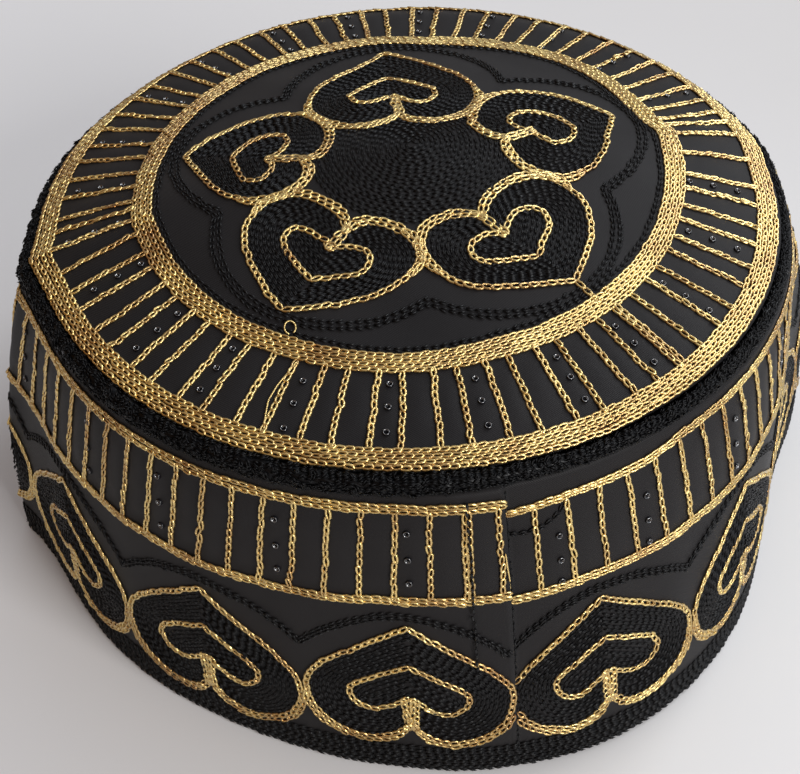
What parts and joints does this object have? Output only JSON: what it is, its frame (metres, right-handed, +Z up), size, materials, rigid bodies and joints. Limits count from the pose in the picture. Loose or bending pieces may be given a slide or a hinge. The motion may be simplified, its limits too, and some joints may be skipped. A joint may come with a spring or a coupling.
{
  "type": "kufi",
  "caption": "Stiff pillbox cap of black embroidered satin: a domed round top sewn by an overcast roll to an upright side band that stands on its corded hem and is open below for the head.",
  "frame": {"origin": "centre of the cap's box, on the surface that the hem stands on", "axes": "+Z up through the crown; X along the fold that the cap was stored on; the lapped seam of the band faces -Y"},
  "size_m": [0.1926, 0.1788, 0.0936],
  "materials": {
    "black_satin": "black satin weave with a soft sheen",
    "black_cord": "glossy black embroidery thread in chain stitch",
    "gold_thread": "metallic gold embroidery thread in chain stitch"
  },
  "bodies": {
    "root": {"top_panel": "black_satin", "edge_roll": "black_cord", "side_band": "black_satin"}
  },
  "joints": []
}
